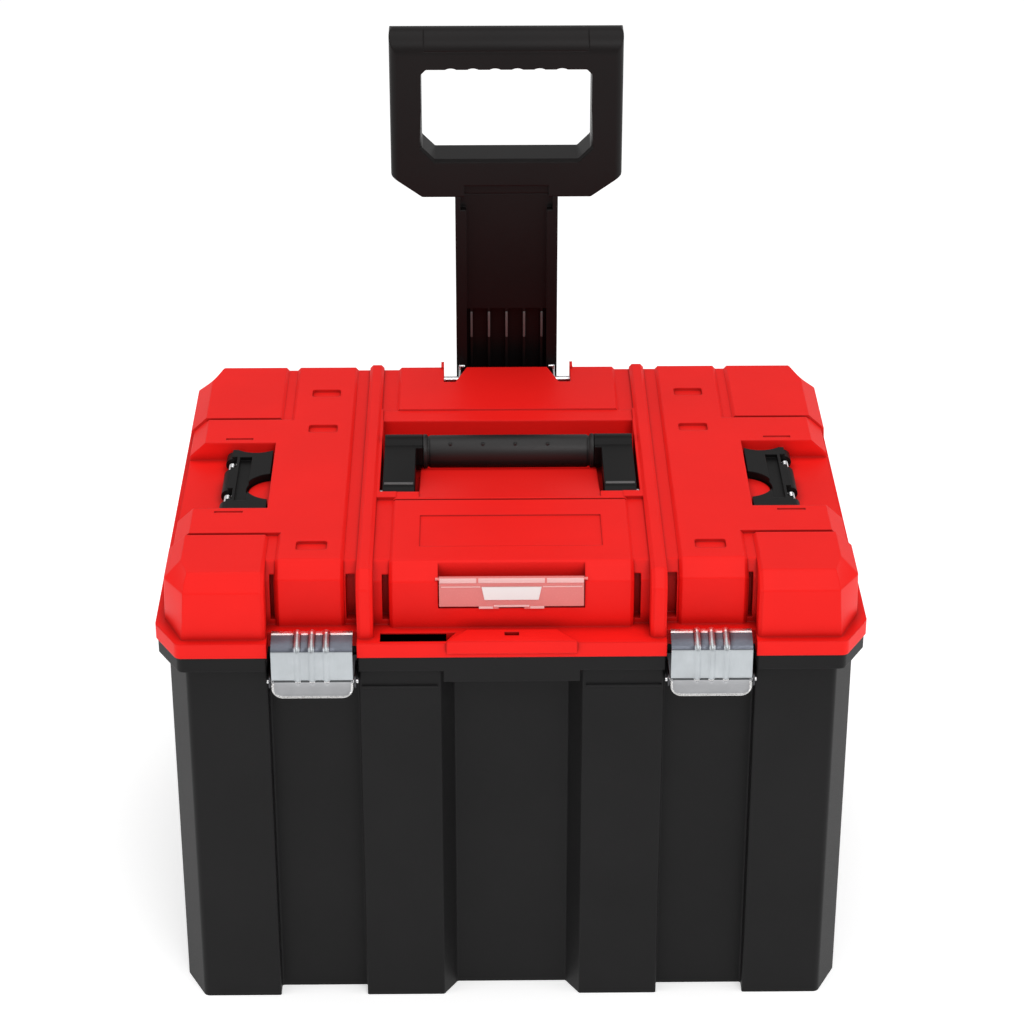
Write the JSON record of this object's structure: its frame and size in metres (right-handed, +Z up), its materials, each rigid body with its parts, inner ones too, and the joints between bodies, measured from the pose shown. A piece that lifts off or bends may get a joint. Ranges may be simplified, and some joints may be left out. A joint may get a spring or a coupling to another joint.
{
  "type": "rolling tool box",
  "caption": "Rolling tool box: deep tub on two rear wheels, hinged lid with folding carry handle, over-centre front latches and a telescopic pull handle.",
  "frame": {"origin": "middle of the tub's flat underside, on the floor", "axes": "+X to the right of a person facing the front, +Y to the back where the pull handle is, +Z up"},
  "size_m": [0.504, 0.4096, 0.631],
  "materials": {
    "black_plastic": "fine matte grain",
    "dark_plastic": "satin",
    "handle_plastic": "satin",
    "grip_rubber": "soft matte",
    "tyre_rubber": "matte",
    "red_plastic": "satin",
    "latch_steel": "plated and brushed",
    "dark_steel": "satin black",
    "bright_steel": "zinc plated",
    "screw_steel": "dark zinc",
    "clear_plastic": "clear, glossy",
    "white_plate": "satin white"
  },
  "bodies": {
    "base": {"tub": "black_plastic", "handle_housing": "black_plastic", "handle_guide": "dark_plastic", "housing_screws": "screw_steel", "detent_springs": "bright_steel", "hinge_rod": "bright_steel", "hinge_pins": "bright_steel", "axle_left": "bright_steel", "axle_right": "bright_steel", "axle_nuts": "bright_steel", "wheel_washers": "bright_steel", "latch_bracket_left": "dark_steel", "latch_bracket_right": "dark_steel", "latch_rivets": "bright_steel", "latch_pins": "bright_steel"},
    "lid": {"lid": "red_plastic", "rod_clips": "bright_steel", "carry_handle_pins": "bright_steel", "side_latch_pins": "bright_steel", "side_latch_springs": "bright_steel"},
    "carry_handle": {"carry_handle_frame": "dark_plastic", "carry_handle_grip": "grip_rubber"},
    "side_latch_left": {"side_latch_left": "dark_plastic"},
    "side_latch_right": {"side_latch_right": "dark_plastic"},
    "label_cover": {"label_flap": "clear_plastic", "label_plate": "white_plate"},
    "latch_left": {"latch_left": "latch_steel"},
    "latch_right": {"latch_right": "latch_steel"},
    "wheel_left": {"tyre_left": "tyre_rubber", "wheel_hub_left": "dark_plastic"},
    "wheel_right": {"tyre_right": "tyre_rubber", "wheel_hub_right": "dark_plastic"},
    "pull_handle": {"handle_post": "black_plastic", "handle_grip": "handle_plastic", "grip_insert": "grip_rubber", "grip_screws": "screw_steel"}
  },
  "joints": [
    {"name": "lid_hinge", "type": "hinge", "parent": "base", "child": "lid", "pos_m": [0, 0.169, 0.348], "axis": [-1, 0, 0], "range_deg": [0, 88]},
    {"name": "pull_handle_slide", "type": "slide", "parent": "base", "child": "pull_handle", "axis": [0, 0, 1], "range_m": [-0.184, 0]},
    {"name": "latch_left_pivot", "type": "hinge", "parent": "base", "child": "latch_left", "pos_m": [-0.14025, -0.1815, 0.279], "axis": [1, 0, 0], "range_deg": [0, 110]},
    {"name": "latch_right_pivot", "type": "hinge", "parent": "base", "child": "latch_right", "pos_m": [0.14025, -0.1815, 0.279], "axis": [1, 0, 0], "range_deg": [0, 110]},
    {"name": "wheel_left_spin", "type": "hinge", "parent": "base", "child": "wheel_left", "pos_m": [-0.2092, 0.158, 0.065], "axis": [1, 0, 0], "continuous": true},
    {"name": "wheel_right_spin", "type": "hinge", "parent": "base", "child": "wheel_right", "pos_m": [0.2092, 0.158, 0.065], "axis": [1, 0, 0], "continuous": true},
    {"name": "carry_handle_pivot", "type": "hinge", "parent": "lid", "child": "carry_handle", "pos_m": [0, -0.033, 0.35], "axis": [-1, 0, 0], "range_deg": [-90, 0]},
    {"name": "side_latch_left_pivot", "type": "hinge", "parent": "lid", "child": "side_latch_left", "pos_m": [-0.2075, -0.02, 0.3495], "axis": [0, -1, 0], "range_deg": [0, 40], "stiffness_Nm_per_rad": 0.15, "springref_deg": -17.19},
    {"name": "side_latch_right_pivot", "type": "hinge", "parent": "lid", "child": "side_latch_right", "pos_m": [0.2075, -0.02, 0.3495], "axis": [0, 1, 0], "range_deg": [0, 40], "stiffness_Nm_per_rad": 0.15, "springref_deg": -17.19},
    {"name": "label_cover_pivot", "type": "hinge", "parent": "lid", "child": "label_cover", "pos_m": [0, -0.1605, 0.349], "axis": [-1, 0, 0], "range_deg": [0, 100]}
  ]
}
